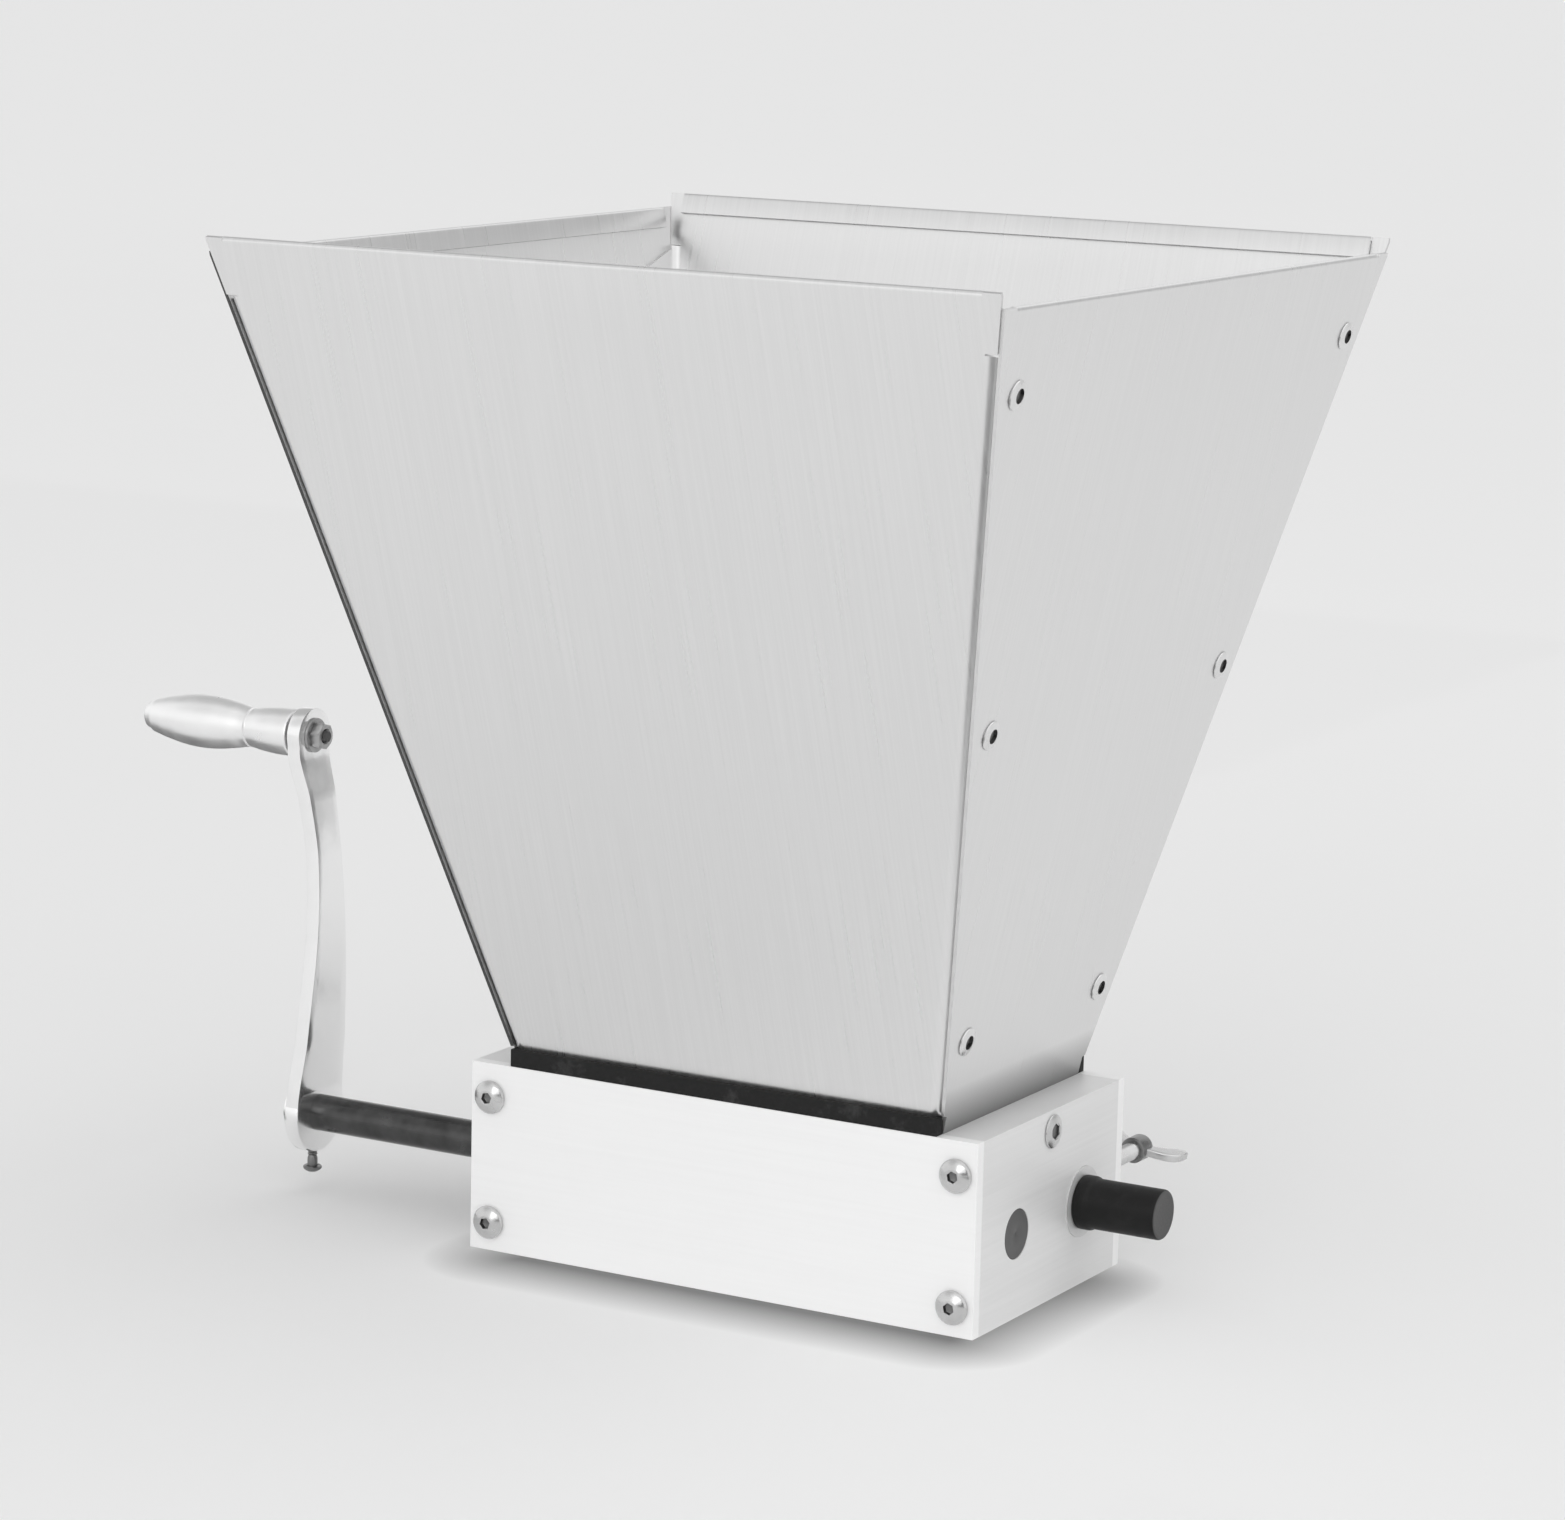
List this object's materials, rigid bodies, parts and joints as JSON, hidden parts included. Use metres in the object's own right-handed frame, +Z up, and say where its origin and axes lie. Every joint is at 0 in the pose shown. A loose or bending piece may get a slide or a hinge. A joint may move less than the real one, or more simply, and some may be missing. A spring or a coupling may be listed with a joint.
{
  "type": "hand grain mill",
  "caption": "Hand-cranked roller mill for cracking grain: sheet steel hopper on a plate-built aluminium body, knurled rollers, side crank and eccentric gap adjusters",
  "frame": {"origin": "centre of the body's underside, which is the centre of the four base screw holes", "axes": "X along the rollers with the crank on the -X side, Y to the rear, Z up"},
  "size_m": [0.3278, 0.238, 0.2866],
  "materials": {
    "body_plate": "fine brushed",
    "end_plate": "fine brushed",
    "hopper_sheet": "brushed along the height",
    "steel_screw": "bright turned",
    "dark_screw": "blackened",
    "dark_bush": "satin",
    "dark_shaft": "blackened",
    "roller_steel": "knurled",
    "adjuster_metal": "fine turned",
    "crank_metal": "polished",
    "black_knob": "satin black",
    "wing_steel": "plated",
    "black_rubber": "matt black"
  },
  "bodies": {
    "mill_body": {"front_plate": "body_plate", "rear_plate": "body_plate", "left_end_plate": "end_plate", "right_end_plate": "end_plate", "front_plate_screws": "steel_screw", "rear_plate_screws": "steel_screw", "left_drive_bush": "dark_bush", "right_drive_bush": "dark_bush", "front_hopper_panel": "hopper_sheet", "rear_hopper_panel": "hopper_sheet", "left_hopper_panel": "hopper_sheet", "right_hopper_panel": "hopper_sheet", "hopper_panel_screws": "steel_screw", "hopper_panel_nuts": "steel_screw", "hopper_fixing_screws": "steel_screw", "hopper_fixing_nuts": "steel_screw", "front_rubber_strip": "black_rubber", "rear_rubber_strip": "black_rubber"},
    "crank": {"drive_shaft": "dark_shaft", "drive_roller": "roller_steel", "crank_arm": "crank_metal", "crank_set_screw": "dark_screw", "handle_bolt": "dark_screw", "handle_washer": "steel_screw", "handle_nut": "steel_screw"},
    "handle": {"handle_grip": "crank_metal"},
    "right_adjuster": {"right_adjuster_bush": "adjuster_metal", "right_adjuster_knob": "black_knob"},
    "left_adjuster": {"left_adjuster_bush": "adjuster_metal", "left_adjuster_knob": "black_knob"},
    "idler": {"idler_shaft": "dark_shaft", "idler_roller": "roller_steel"},
    "right_lock": {"right_wing_screw": "wing_steel"},
    "left_lock": {"left_wing_screw": "wing_steel"}
  },
  "joints": [
    {"name": "crank_turn", "type": "hinge", "parent": "mill_body", "child": "crank", "pos_m": [0, -0.0198, 0.0237], "axis": [1, 0, 0], "continuous": true},
    {"name": "grip_spin", "type": "hinge", "parent": "crank", "child": "handle", "pos_m": [-0.18, -0.0198, 0.1353], "axis": [1, 0, 0], "continuous": true},
    {"name": "right_gap_adjust", "type": "hinge", "parent": "mill_body", "child": "right_adjuster", "pos_m": [0.0737, 0.0198, 0.0237], "axis": [1, 0, 0], "range_deg": [-90, 90]},
    {"name": "left_gap_adjust", "type": "hinge", "parent": "mill_body", "child": "left_adjuster", "pos_m": [-0.0737, 0.0198, 0.0237], "axis": [1, 0, 0], "range_deg": [-90, 90]},
    {"name": "idler_spin", "type": "hinge", "parent": "right_adjuster", "child": "idler", "pos_m": [0, 0.0198, 0.0247], "axis": [1, 0, 0], "continuous": true},
    {"name": "right_lock_turn", "type": "hinge", "parent": "mill_body", "child": "right_lock", "pos_m": [0.0737, 0.044, 0.0274], "axis": [0, 1, 0], "range_deg": [-180, 180]},
    {"name": "left_lock_turn", "type": "hinge", "parent": "mill_body", "child": "left_lock", "pos_m": [-0.0737, 0.044, 0.0274], "axis": [0, 1, 0], "range_deg": [-180, 180]}
  ],
  "couplings": [
    {"joint": "left_gap_adjust", "follows": "right_gap_adjust", "ratio": 1}
  ]
}
